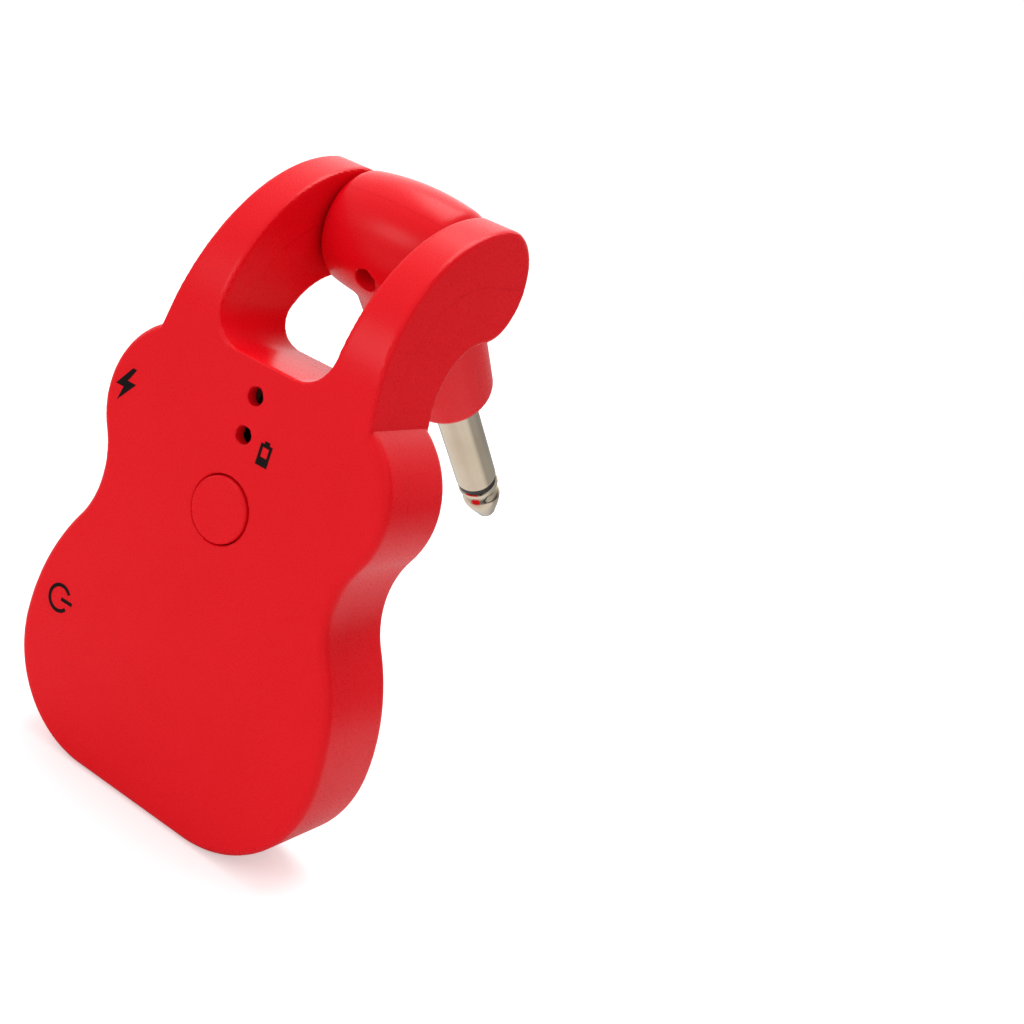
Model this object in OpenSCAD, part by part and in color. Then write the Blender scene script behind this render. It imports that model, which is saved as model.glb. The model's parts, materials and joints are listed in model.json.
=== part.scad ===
// Wireless guitar transmitter: a guitar-shaped plastic housing whose top splits into two curved
// arms. The arms carry a barrel that swivels about X, with a 6.35 mm jack plug on it.
// Frame: X to the right, Y from the front face to the back, Z up.
// The origin is the middle of the flat bottom face.

/* [Housing] */
// Thickness of the housing, front face to back face
body_t = 12.7; // [12.4:0.1:14]
// Wall thickness of both shells
wall = 1.6; // [1.4:0.1:1.8]
// Depth of the shell joint below the front face
seam_depth = 4.4; // [4.2:0.1:4.6]

/* [Outline] */
// Half width of the flat foot
foot_half = 9.4; // [9:0.1:10]
// Radius of the two bottom corners
corner_r = 15.8; // [15.2:0.1:16.2]
// Radius of the flanks above the corners
flank_r = 28.6; // [27:0.1:30]
// Radius of the hollow waist
waist_r = 12.3; // [12:0.1:13]
// Radius of the upper bout
bout_r = 11.8; // [11.4:0.1:12.2]

/* [Yoke] */
// Height of the swivel axis above the foot
hinge_z = 77; // [76:0.1:78]
// Distance of the swivel axis behind the back face
hinge_back = 8.2; // [8:0.1:9]
// Radius of the round arm ends
disc_r = 7.2; // [7:0.1:7.4]
// Radius of the front curve of the arms
yoke_r = 22.8; // [22:0.1:24]
// Radius of the inner curve of the arms
inner_r = 10.3; // [10:0.1:10.3]
// Half width of the gap between the arms
gap_half = 9; // [8.8:0.1:9.2]
// Height of the bottom of the gap
gap_z = 60.7; // [60.3:0.1:61.3]

/* [Swivel and plug] */
// Angle of the plug from straight down, towards the back
plug_angle = 49.5; // [0:0.5:180]
// Largest radius of the barrel
barrel_r = 8.2; // [8:0.1:8.4]
// Radius the barrel would have at its ends without the rounded shoulders
barrel_end_r = 7.2; // [7:0.1:7.4]
// Distance from the swivel axis to the end of the collar
collar_len = 31; // [30:0.2:33]
// Radius of the collar where it leaves the barrel
collar_r = 7.9; // [7.6:0.1:8]
// Radius of the jack plug, 6.35 mm in diameter
plug_r = 3.175; // [3.15:0.005:3.2]
// Length of the jack plug in front of the collar
plug_len = 33; // [31:0.1:33]

/* [Controls] */
// Height of the pairing button
button_z = 41.7; // [40:0.1:43]
// Radius of the pairing button
button_r = 4.25; // [4:0.05:4.5]
// Middle height of the charging socket
usb_z = 48.4; // [47.8:0.1:48.8]
// Lowest edge of the power switch window
window_z = 13.3; // [12.8:0.1:13.8]
// Length of the power switch window
window_len = 14; // [13.8:0.1:14.5]

/* [Hidden] */

$fn = 96;
small_fn = 48;
cut = 0.5;
hair = 0.01;
red = [0.86, 0.08, 0.12];
nickel = [0.80, 0.77, 0.70];
steel = [0.62, 0.63, 0.65];
black = [0.08, 0.08, 0.09];

front_y = -body_t / 2;
back_y = body_t / 2;
seam_y = front_y + seam_depth;
hinge_y = back_y + hinge_back;

// Tangent chain of the outline: corner, flank, waist, upper bout
corner_end = -3;
flank_end = 31;
waist_end = -29;
bout_end = 61.5;
function dir(a) = [cos(a), sin(a)];
corner_c = [foot_half, corner_r];
flank_c = corner_c + (corner_r - flank_r) * dir(corner_end);
waist_c = flank_c + (flank_r + waist_r) * dir(flank_end);
bout_c = waist_c - (waist_r + bout_r) * dir(waist_end);
function flank_x(z, inset = 0) = flank_c.x + sqrt(pow(flank_r - inset, 2) - pow(z - flank_c.y, 2));

// Side view of the arms: front curve, inner curve and the round end all meet smoothly
yoke_cy = front_y + yoke_r;
yoke_cz = hinge_z - sqrt(pow(yoke_r - disc_r, 2) - pow(yoke_cy - hinge_y, 2));
yoke_join_y = yoke_cy - yoke_r * (yoke_cy - hinge_y) / (yoke_r - disc_r);
inner_cy = back_y + inner_r;
inner_z = hinge_z - sqrt(pow(inner_r + disc_r - hair, 2) - pow(inner_cy - hinge_y, 2));
inner_join_y = hinge_y + disc_r * (inner_cy - hinge_y) / (inner_r + disc_r);
gap_corner_r = 4.5;
arm_base_z = 56;
arm_top_w = 14.3;
arm_flare = 2.2;
arm_flare_len = 24;
function arm_w(z) = arm_top_w + arm_flare * pow((hinge_z + disc_r - z) / arm_flare_len, 2);

// The shell joint bends back with the arms and runs through the swivel axis
seam_reach = hinge_y - seam_y;
seam_rise = hinge_z - yoke_cz;
seam_r = (pow(seam_reach, 2) + pow(seam_rise, 2)) / (2 * seam_reach);
seam_cy = seam_y + seam_r;

// Trunnions and their bores
bore_r = 3.25;
trunnion_r = 3.2;
bore_end_x = 13.1;
trunnion_end_x = 11.5;
cable_x = 12.4;
cable_slot_w = 1.4;
cable_slot_h = 3;
barrel_half = gap_half - 0.3;
washer_r = 4.7;
washer_sink = 0.6;
cable_bore_r = 1;
crown_h = barrel_r - barrel_end_r;
crown_r = (pow(barrel_half, 2) + pow(crown_h, 2)) / (2 * crown_h);
shoulder_r = 1.6;
room_half = 6.8;
room_r = 5.8;
collar_bore_r = 3.9;
boss_r = 2.3;

// Circuit board stack, front to back
board_t = 1;
board_front = front_y + 5.6;
board_back = board_front + board_t;
pad_t = 0.3;
battery_t = 4;
battery_w = 26;
battery_h = 36;
battery_z = 7;
battery_y = board_back + pad_t;
socket_x = -6;
socket_z = 50;
cable_r = 0.55;

// Case screws
screw_xz = [[17.6, 11.3], [-17.6, 8.3], [13.4, 53.9], [-13.4, 55.4]];
post_r = 2.3;
pilot_r = 0.85;
screw_r = 0.8;
head_r = 1.6;
head_t = 1;
head_sink = 1.3;

// Front-face features
button_gap = 0.25;
button_proud = 0.3;
button_flange_r = 5.3;
led_hole_r = 1.15;
led_z = [56.6, 51.6];
led_tube_r = 2;

// Charging socket in the left wall
usb_y = front_y + 4;
usb_w = 9;
usb_t = 3.2;
usb_mouth_x = -20.4;
usb_len = 7.3;
usb_play = 0.2;

// Notch for opening the case, in the joint under the charging socket
notch_z = 39.5;
notch_h = 1.6;
notch_end_x = -18.9;

// Power switch in the left wall
window_y = front_y + 3.1;
window_t = 5.2;
knob_play = 0.3;
knob_len = 10;
knob_travel = 3;
knob_flange_x = -20.9;
lever_y = front_y + 4.6;
lever_z = window_z + 5.6;
lever_w = 1.5;

// Jack plug, measured along its axis from the swivel axis
flange_a = 23;
flange_end_a = 27;
flange_r = 4.8;
tip_len = 9.6;
ring_len = 1.3;
plug_end_a = collar_len + plug_len;
tip_a = plug_end_a - tip_len;
ring_a = tip_a - ring_len;
neck_r = plug_r - 0.25;
insulator_r = plug_r - 0.2;
core_r = 1.8;
rod_r = 1;
lug_a = 21;
screw_a = 1.6;

// ---------- shared shapes ----------

// Slice of a disc about c, from angle a0 to angle a1
module sector(c, r, a0, a1) {
    reach = 2 * r;
    translate(c)
        intersection() {
            circle(r);
            polygon([[0, 0], reach * dir(a0), reach * dir((a0 + a1) / 2), reach * dir(a1)]);
        }
}

// The arcs reach past each other and cross by a hair, because arcs that only graze leave open seams
module half_outline() {
    corner_in = corner_c + (corner_r - 1) * dir(corner_end);
    flank_in = flank_c + (flank_r - 1) * dir(flank_end);
    top_z = bout_c.y + bout_r * sin(bout_end);
    difference() {
        union() {
            polygon([
                [0, 0], [foot_half, 0], corner_in, flank_in,
                waist_c, bout_c, [bout_c.x, top_z + 1], [0, top_z + 1]
            ]);
            sector(corner_c, corner_r, -90, corner_end + 10);
            sector(flank_c, flank_r - hair, corner_end - 1, flank_end + 0.5);
            sector(bout_c, bout_r, waist_end - 1, 100);
        }
        translate(waist_c) circle(waist_r + 2 * hair);
        translate([-1, top_z]) square([40, bout_r]);
    }
}

module outline() {
    half_outline();
    mirror([1, 0]) half_outline();
}

function arc_points(c, r, a0, a1, steps) = [
    for (i = [0 : steps]) c + r * dir(a0 + (a1 - a0) * i / steps)
];

// The same outline moved inwards, in short flats, for what lies inside the walls
module inner_outline(inset) {
    right = concat(
        arc_points(corner_c, corner_r - inset, -90, corner_end, 16),
        arc_points(flank_c, flank_r - inset, corner_end, flank_end, 8),
        arc_points(waist_c, waist_r + inset, 180 + flank_end, 180 + waist_end, 12),
        arc_points(bout_c, bout_r - inset, waist_end, bout_end, 14)
    );
    left = [for (i = [len(right) - 1 : -1 : 0]) [-right[i].x, right[i].y]];
    polygon(concat(right, left));
}

// Extrudes a front-view shape (x, z) from y0 to y1
module slab(y0, y1) {
    translate([0, y1, 0])
        rotate([90, 0, 0])
            linear_extrude(y1 - y0)
                children();
}

// Extrudes a side-view shape (y, z) from x0 to x1
module across(x0, x1) {
    translate([x0, 0, 0])
        rotate([90, 0, 90])
            linear_extrude(x1 - x0)
                children();
}

module block(lo, hi) {
    translate(lo) cube(hi - lo);
}

// Straight round rod along Y
module rod_y(x, z, y0, y1, r, fn = small_fn) {
    translate([x, y0, z])
        rotate([-90, 0, 0])
            cylinder(h = y1 - y0, r = r, $fn = fn);
}

// Straight round rod along X
module rod_x(y, z, x0, x1, r, fn = small_fn) {
    translate([x0, y, z])
        rotate([0, 90, 0])
            cylinder(h = x1 - x0, r = r, $fn = fn);
}

function unit(v) = v / norm(v);
function heading(p, i) = unit(p[min(i + 1, len(p) - 1)] - p[max(i - 1, 0)]);

// Round wire along a route; side is a direction that the route never takes
module wire(route, r, side, sides = 8) {
    count = len(route);
    points = [
        for (i = [0 : count - 1])
            let (t = heading(route, i), n = unit(cross(t, side)), b = cross(t, n))
                for (k = [0 : sides - 1])
                    route[i] + r * (cos(360 * k / sides) * n + sin(360 * k / sides) * b)
    ];
    walls = [
        for (i = [0 : count - 2])
            for (k = [0 : sides - 1])
                let (m = (k + 1) % sides)
                    [i * sides + k, (i + 1) * sides + k, (i + 1) * sides + m, i * sides + m]
    ];
    first = [for (k = [0 : sides - 1]) k];
    last = [for (k = [sides - 1 : -1 : 0]) (count - 1) * sides + k];
    polyhedron(points, concat(walls, [first], [last]));
}

// Places the swivelling pieces: barrel axis along X, plug axis down
module swivel() {
    translate([0, hinge_y, hinge_z])
        rotate([plug_angle, 0, 0])
            children();
}

// ---------- housing ----------

module gap_outline() {
    translate([-gap_half, gap_z + gap_corner_r])
        square([2 * gap_half, hinge_z]);
    translate([-gap_half + gap_corner_r, gap_z])
        square([2 * (gap_half - gap_corner_r), 2 * gap_corner_r]);
    for (s = [-1, 1])
        translate([s * (gap_half - gap_corner_r), gap_z + gap_corner_r])
            circle(gap_corner_r);
}

module arm_outline() {
    top = hinge_z + disc_r + 1;
    steps = 8;
    right = [
        for (i = [0 : steps])
            let (z = arm_base_z + (top - arm_base_z) * i / steps)
                [arm_w(z), z]
    ];
    left = [for (i = [steps : -1 : 0]) [-right[i].x, right[i].y]];
    difference() {
        polygon(concat(right, left));
        gap_outline();
    }
}

module yoke_side() {
    difference() {
        union() {
            translate([front_y, arm_base_z])
                square([body_t + 1, yoke_cz - arm_base_z]);
            intersection() {
                translate([yoke_cy, yoke_cz]) circle(yoke_r);
                translate([front_y, yoke_cz]) square([yoke_join_y - front_y, yoke_r]);
            }
            translate([back_y, yoke_cz])
                square([inner_join_y - back_y, hinge_z - yoke_cz]);
        }
        translate([inner_cy, inner_z]) circle(inner_r);
        translate([back_y, arm_base_z - 1]) square([inner_r, inner_z - arm_base_z + 1]);
    }
    translate([hinge_y, hinge_z]) circle(disc_r);
}

module housing_outside() {
    slab(front_y, back_y) outline();
    intersection() {
        across(-arm_top_w - 5, arm_top_w + 5) yoke_side();
        slab(front_y, hinge_y + disc_r) arm_outline();
    }
}

// Everything in front of the shell joint, in side view
module front_side() {
    reach = 60;
    difference() {
        translate([front_y - 5, -5]) square([2 * reach, 2 * reach]);
        translate([seam_y, -10]) square([2 * reach, yoke_cz + 10]);
        translate([seam_cy, yoke_cz]) circle(seam_r);
        translate([seam_cy, yoke_cz - cut]) square([2 * reach, hinge_z - yoke_cz + cut]);
    }
}

module cavity() {
    slab(front_y + wall, back_y - wall) inner_outline(wall);
}

module swivel_bores() {
    rod_x(hinge_y, hinge_z, -bore_end_x, bore_end_x, bore_r, 96);
    // Passage for the signal cable, from the right bore down into the housing
    translate([cable_x - cable_slot_w / 2, seam_cy, yoke_cz])
        rotate([0, 90, 0])
            rotate([0, 0, 180])
                rotate_extrude(angle = 90)
                    translate([seam_r - cable_slot_h / 2, 0])
                        square([cable_slot_h, cable_slot_w]);
    block(
        [cable_x - cable_slot_w / 2, seam_y - cable_slot_h / 2, bout_c.y],
        [cable_x + cable_slot_w / 2, seam_y + cable_slot_h / 2, yoke_cz + cut]
    );
}

module usb_cutout() {
    r = usb_t / 2 + usb_play;
    half = usb_w / 2 + usb_play;
    across(-bout_c.x - bout_r - 1, usb_mouth_x + 3) {
        for (s = [-1, 1])
            translate([usb_y, usb_z + s * (half - r)]) circle(r, $fn = small_fn);
        translate([usb_y - r, usb_z - half + r]) square([2 * r, 2 * (half - r)]);
    }
}

module knob_window() {
    block(
        [-flank_x(flank_c.y) - 1, window_y, window_z],
        [-flank_x(window_z, wall) + 3, window_y + window_t, window_z + window_len]
    );
}

module pry_notch() {
    block(
        [-bout_c.x - bout_r, seam_y - notch_h, notch_z],
        [notch_end_x, seam_y, notch_z + notch_h]
    );
}

module front_shell() {
    color(red)
        difference() {
            union() {
                difference() {
                    intersection() {
                        housing_outside();
                        across(-40, 40) front_side();
                    }
                    cavity();
                    swivel_bores();
                    usb_cutout();
                    knob_window();
                    pry_notch();
                }
                for (p = screw_xz)
                    rod_y(p.x, p.y, front_y + wall / 2, board_front, post_r);
                for (z = led_z)
                    rod_y(0, z, front_y + wall / 2, board_front - 1.2, led_tube_r);
            }
            for (p = screw_xz)
                rod_y(p.x, p.y, front_y + wall + 0.2, board_front + cut, pilot_r);
            for (z = led_z)
                rod_y(0, z, front_y - cut, board_front, led_hole_r);
            rod_y(0, button_z, front_y - cut, front_y + wall + cut, button_r + button_gap, 96);
        }
}

module rear_shell() {
    color(red)
        difference() {
            union() {
                difference() {
                    housing_outside();
                    across(-40, 40) front_side();
                    cavity();
                    swivel_bores();
                    usb_cutout();
                    knob_window();
                }
                for (p = screw_xz)
                    rod_y(p.x, p.y, board_back, back_y - wall / 2, post_r);
            }
            for (p = screw_xz) {
                rod_y(p.x, p.y, board_back - cut, back_y, screw_r + 0.2);
                rod_y(p.x, p.y, back_y - head_sink, back_y + cut, head_r + 0.2);
            }
        }
}

module case_screws() {
    color(steel)
        for (p = screw_xz)
            difference() {
                union() {
                    rod_y(p.x, p.y, front_y + wall + 0.6, back_y - head_sink, screw_r);
                    rod_y(p.x, p.y, back_y - head_sink, back_y - head_sink + head_t, head_r);
                }
                for (a = [0, 90])
                    translate([p.x, back_y - head_sink + head_t, p.y])
                        rotate([0, a, 0])
                            cube([1.8, 1, 0.35], center = true);
            }
}

// ---------- controls ----------

module pair_button() {
    plunger_front = board_front - 2.3;
    color(red) {
        rod_y(0, button_z, front_y - button_proud, front_y + wall + 0.2, button_r, 96);
        rod_y(0, button_z, front_y + wall + 0.1, front_y + wall + 0.9, button_flange_r, 96);
        rod_y(0, button_z, front_y + wall + 0.8, plunger_front, 1.2);
    }
}

module pair_switch_body() {
    color(steel)
        difference() {
            block([-2.6, board_front - 1.6, button_z - 2.6], [2.6, board_front, button_z + 2.6]);
            rod_y(0, button_z, board_front - 1.6 - cut, board_front - 0.6, 1.35);
        }
}

module pair_switch_plunger() {
    color(black)
        rod_y(0, button_z, board_front - 2.3, board_front - 1, 1.1);
}

module power_knob() {
    rib_step = 1.7;
    rib_w = 0.8;
    z0 = window_z + knob_play;
    y0 = window_y + knob_play;
    y1 = window_y + window_t - knob_play;
    color(red) {
        intersection() {
            slab(y0, y1) {
                difference() {
                    mirror([1, 0]) sector(flank_c, flank_r - 0.3, corner_end - 10, flank_end);
                    translate([knob_flange_x, 0]) square([60, 60]);
                }
                for (i = [0 : 5])
                    translate([-flank_x(z0 + 1 + i * rib_step) - 0.2, z0 + 0.35 + i * rib_step])
                        square([2, rib_w]);
            }
            block([-30, y0, z0], [knob_flange_x + 0.2, y1, z0 + knob_len]);
        }
        block(
            [knob_flange_x, front_y + 2.4, z0 - 1.4],
            [knob_flange_x + 0.8, front_y + 9, z0 + knob_len + 0.6]
        );
        for (s = [-1, 1])
            translate([knob_flange_x + 0.4, lever_y - 0.6, lever_z + s * (lever_w / 2 + 0.75) - 0.6])
                cube([1.7, 1.2, 1.2]);
    }
}

module power_switch_lever() {
    color(black)
        block(
            [knob_flange_x + 1.1, lever_y - 0.6, lever_z - lever_w / 2],
            [knob_flange_x + 2.6, lever_y + 0.6, lever_z + lever_w / 2]
        );
}

module power_switch_body() {
    x0 = knob_flange_x + 2.3;
    color(steel)
        difference() {
            block([x0, board_front - 2.2, lever_z - 3.2], [x0 + 2.8, board_front, lever_z + 6.2]);
            block(
                [x0 - cut, lever_y - 0.8, lever_z - 1],
                [x0 + 0.6, lever_y + 0.8, lever_z + knob_travel + 1]
            );
        }
}

// ---------- electronics ----------

module circuit_board() {
    inset = wall + 0.9;
    color([0.05, 0.28, 0.16])
        difference() {
            slab(board_front, board_back) inner_outline(inset);
            // Room for the slider behind its window
            block(
                [-40, board_front - 1, 4],
                [knob_flange_x + 1.8, board_back + 1, window_z + window_len + 6]
            );
            for (p = screw_xz)
                rod_y(p.x, p.y, board_front - 1, board_back + 1, 1.2);
        }
}

module usb_shell() {
    skin = 0.3;
    module stadium(t, w) {
        for (s = [-1, 1])
            translate([usb_y, usb_z + s * (w - t) / 2]) circle(t / 2, $fn = small_fn);
        translate([usb_y - t / 2, usb_z - (w - t) / 2]) square([t, w - t]);
    }
    color(steel)
        difference() {
            across(usb_mouth_x, usb_mouth_x + usb_len)
                stadium(usb_t, usb_w);
            across(usb_mouth_x - cut, usb_mouth_x + usb_len - 1)
                stadium(usb_t - 2 * skin, usb_w - 2 * skin);
        }
}

module usb_tongue() {
    color(black)
        block(
            [usb_mouth_x + 0.8, usb_y - 0.35, usb_z - 3.3],
            [usb_mouth_x + usb_len - 1, usb_y + 0.35, usb_z + 3.3]
        );
}

module led(z) {
    color([0.95, 0.95, 0.85])
        block([-0.8, board_front - 0.8, z - 0.4], [0.8, board_front, z + 0.4]);
}

module signal_led() {
    led(led_z[0]);
}

module battery_led() {
    led(led_z[1]);
}

module front_chip(x, z, w, h, t, tint) {
    color(tint)
        block([x - w / 2, board_front - t, z - h / 2], [x + w / 2, board_front, z + h / 2]);
}

module radio_shield() {
    front_chip(11.6, 43.5, 9, 12, 2, steel);
}

module main_chip() {
    front_chip(0, 28, 7, 7, 0.9, black);
}

module audio_chip() {
    front_chip(11, 27, 5, 5, 0.9, black);
}

module charger_chip() {
    front_chip(-10.5, 38, 3, 3, 1, black);
}

module crystal() {
    front_chip(7, 33.5, 3.2, 2.5, 0.8, steel);
}

module chip_antenna() {
    front_chip(-6.8, 55.5, 7, 2, 1, [0.9, 0.9, 0.86]);
}

module inductor() {
    front_chip(-10.5, 32, 4, 4, 1.8, [0.25, 0.25, 0.27]);
}

module capacitors() {
    places = [[-6, 23], [-3, 20], [0, 20], [3, 20], [6, 23], [8, 20], [-6, 33], [-3.5, 33], [13, 21]];
    for (p = places)
        front_chip(p.x, p.y, 1, 1.8, 0.8, [0.72, 0.58, 0.42]);
}

module battery() {
    fold = 1.2;
    y0 = battery_y;
    y1 = battery_y + battery_t;
    color([0.75, 0.76, 0.78]) {
        block([-battery_w / 2, y0, battery_z], [battery_w / 2, y1, battery_z + battery_h - fold]);
        block(
            [-battery_w / 2 + 1, y0 + 0.8, battery_z + battery_h - fold - 0.1],
            [battery_w / 2 - 1, y0 + 2.4, battery_z + battery_h]
        );
    }
}

module battery_pad() {
    color([0.95, 0.95, 0.95])
        block([-9, board_back, battery_z + 5], [9, board_back + pad_t, battery_z + 29]);
}

module battery_socket() {
    color([0.92, 0.9, 0.84])
        difference() {
            block(
                [socket_x - 3, board_back, socket_z],
                [socket_x + 3, board_back + 3.4, socket_z + 4.6]
            );
            block(
                [socket_x - 2.4, board_back + 0.6, socket_z - cut],
                [socket_x + 2.4, board_back + 2.8, socket_z + 3.6]
            );
        }
}

module battery_plug() {
    color([0.92, 0.9, 0.84])
        block(
            [socket_x - 2.3, board_back + 0.7, socket_z - 1],
            [socket_x + 2.3, board_back + 2.7, socket_z + 3.4]
        );
}

module battery_leads() {
    lead_y = board_back + 1.7;
    for (s = [-1, 1])
        color(s < 0 ? black : red)
            wire([
                [socket_x + s * 0.8, lead_y, battery_z + battery_h],
                [socket_x + s * 0.8, lead_y, battery_z + battery_h + 1.5],
                [socket_x + s * 1.3, lead_y + 0.2, battery_z + battery_h + 3],
                [socket_x + s * 1, lead_y, socket_z - 2],
                [socket_x + s * 1, lead_y, socket_z - 1]
            ], 0.5, [0, 1, 0]);
}

// Two-core cable, from the board up the right arm and into the bore on the swivel axis
module arm_cable() {
    bend = 1.2;
    color([0.3, 0.3, 0.32])
        wire(concat(
            [[trunnion_end_x, hinge_y, hinge_z], [cable_x - 0.5, hinge_y, hinge_z]],
            [[cable_x, hinge_y - 0.5, hinge_z], [cable_x, hinge_y - bend, hinge_z]],
            [
                for (a = [102 : 6 : 180])
                    [cable_x, seam_cy + seam_r * cos(a), yoke_cz + seam_r * sin(a)]
            ],
            [[cable_x, seam_y, 58], [cable_x - 0.6, seam_y, 56.6], [cable_x - 3, seam_y + 0.3, 55.9]]
        ), cable_r, [0.3, 1, 0.4]);
}

// ---------- swivel barrel ----------

function barrel_crown(x) = barrel_r - crown_r + sqrt(pow(crown_r, 2) - pow(x, 2));

module barrel_blank() {
    steps = 10;
    straight = barrel_half - shoulder_r;
    crown = [
        for (i = [0 : steps])
            let (x = straight * (1 - 2 * i / steps))
                [barrel_crown(x), x]
    ];
    shoulder = [
        for (a = [75 : -15 : 15])
            [barrel_crown(straight) - shoulder_r * (1 - cos(a)), straight + shoulder_r * sin(a)]
    ];
    flat_r = barrel_crown(straight) - shoulder_r;
    right = concat([[0, barrel_half], [flat_r, barrel_half]], shoulder);
    left = [for (i = [len(right) - 1 : -1 : 0]) [right[i].x, -right[i].y]];
    rotate([0, 90, 0])
        rotate_extrude()
            polygon(concat(right, crown, left));
    rod_x(0, 0, -trunnion_end_x, trunnion_end_x, trunnion_r, 96);
    collar_blank();
}

module collar_blank() {
    end_r = collar_r - 1.4;
    round_r = 1.6;
    turn = [
        for (a = [0 : 15 : 90])
            [end_r - round_r + round_r * cos(a), -collar_len + round_r - round_r * sin(a)]
    ];
    rotate_extrude()
        polygon(concat([[0, 0], [collar_r, 0], [collar_r, -barrel_r]], turn, [[0, -collar_len]]));
}

module barrel_hollow() {
    rod_x(0, 0, -room_half, room_half, room_r, 96);
    translate([0, 0, -flange_a]) cylinder(h = flange_a, r = collar_bore_r);
    translate([0, 0, -flange_end_a]) cylinder(h = flange_end_a - flange_a + 0.05, r = flange_r);
    translate([0, 0, -collar_len - cut]) cylinder(h = collar_len, r = plug_r + 0.03);
    rod_x(0, 0, -trunnion_end_x - cut, trunnion_end_x + cut, cable_bore_r);
    for (s = [-1, 1])
        translate([s * (barrel_half - washer_sink / 2), 0, 0])
            rotate([0, 90, 0])
                cylinder(h = washer_sink, r = washer_r + 0.2, center = true);
}

module barrel_core() {
    difference() {
        barrel_blank();
        barrel_hollow();
    }
    // Hubs of the trunnions, inside the washer recesses
    for (s = [-1, 1])
        difference() {
            translate([s * (barrel_half - washer_sink / 2), 0, 0])
                rotate([0, 90, 0])
                    cylinder(h = washer_sink + 0.1, r = trunnion_r, center = true);
            rod_x(0, 0, -barrel_half - cut, barrel_half + cut, cable_bore_r);
        }
}

module barrel_front() {
    color(red)
        swivel()
            difference() {
                union() {
                    intersection() {
                        barrel_core();
                        block([-20, -20, -50], [20, 0, 20]);
                    }
                    rod_y(0, screw_a, -barrel_r + 1, 0, boss_r);
                }
                rod_y(0, screw_a, -barrel_r - 1, cut, 1.1);
                rod_y(0, screw_a, -barrel_r - 1, -5, 1.6);
            }
}

module barrel_rear() {
    color(red)
        swivel()
            difference() {
                union() {
                    intersection() {
                        barrel_core();
                        block([-20, 0, -50], [20, 20, 20]);
                    }
                    rod_y(0, screw_a, 0, barrel_r - 1, boss_r);
                }
                rod_y(0, screw_a, -cut, 5.8, 0.85);
            }
}

module barrel_screw() {
    color(steel)
        swivel()
            difference() {
                union() {
                    rod_y(0, screw_a, -5, 5.2, 0.8);
                    rod_y(0, screw_a, -6, -5, 1.5);
                }
                for (a = [0, 90])
                    translate([0, -6, screw_a])
                        rotate([0, a, 0])
                            cube([1.8, 1, 0.35], center = true);
            }
}

module friction_washers() {
    color(steel)
        swivel()
            for (s = [-1, 1])
                translate([s * (barrel_half + 0.05 - washer_sink / 2), 0, 0])
                    rotate([0, 90, 0])
                        difference() {
                            cylinder(h = washer_sink - 0.1, r = washer_r, center = true);
                            cylinder(h = 2, r = trunnion_r + 0.1, center = true);
                        }
}

// ---------- jack plug ----------

module plug_sleeve() {
    color(nickel)
        swivel()
            difference() {
                union() {
                    translate([0, 0, -ring_a]) cylinder(h = ring_a - collar_len, r = plug_r);
                    translate([0, 0, -collar_len]) cylinder(h = collar_len - flange_a, r = neck_r);
                    translate([0, 0, -flange_end_a])
                        cylinder(h = flange_end_a - flange_a, r = flange_r - 0.05);
                }
                translate([0, 0, -ring_a - cut]) cylinder(h = ring_a, r = core_r);
            }
}

module plug_insulator() {
    color(black)
        swivel()
            difference() {
                union() {
                    translate([0, 0, -tip_a]) cylinder(h = tip_a - ring_a, r = insulator_r);
                    translate([0, 0, -tip_a]) cylinder(h = tip_a - flange_a, r = core_r - 0.02);
                }
                translate([0, 0, -tip_a - cut]) cylinder(h = tip_a, r = rod_r + 0.02);
            }
}

// Tip contact: a short band, a groove for the latch, then a ball that tapers to a round nose
module plug_tip() {
    nose = [[0, -tip_len], [0.5, -tip_len + 0.06], [1.1, -tip_len + 0.3], [1.5, -tip_len + 0.8]];
    ball = [[1.8, -7.9], [2.25, -6.7], [2.75, -5.2], [2.98, -4.2], [3, -3.8], [2.96, -3.5], [2.75, -3.1]];
    groove = [[2.2, -2.5], [2.1, -2.2], [2.2, -1.9]];
    band = [[2.95, -1.2], [plug_r, -0.9], [plug_r, 0], [0, 0]];
    color(nickel)
        swivel()
            translate([0, 0, -tip_a]) {
                cylinder(h = tip_a - lug_a + 1.5, r = rod_r, $fn = small_fn);
                rotate_extrude()
                    polygon(concat(nose, ball, groove, band));
            }
}

module plug_bush() {
    color([0.55, 0.35, 0.2])
        swivel()
            difference() {
                translate([0, 0, -flange_a]) cylinder(h = flange_a - lug_a - 0.6, r = 3);
                translate([0, 0, -flange_a - cut]) cylinder(h = flange_a, r = rod_r + 0.02);
            }
}

module ground_lug() {
    color(steel)
        swivel()
            difference() {
                union() {
                    translate([0, 0, -flange_a]) cylinder(h = 0.4, r = 3.7);
                    block([-3.6, -1, -flange_a], [-3.2, 1, -flange_a + 4.5]);
                }
                translate([0, 0, -flange_a - cut]) cylinder(h = 2, r = 3.05);
            }
}

// Two-core cable inside the barrel, from the plug to the right trunnion
module swivel_cable() {
    color([0.3, 0.3, 0.32])
        swivel()
            wire([
                [2.2, 0, -lug_a + 1], [2.4, 0, -16], [2.4, 0, -11], [2.9, 0, -7], [4.2, 0, -3.4],
                [5.6, 0, -1.2], [7.2, 0, -0.2], [8.6, 0, 0], [trunnion_end_x, 0, 0]
            ], cable_r, [0, 1, 0]);
}

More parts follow.
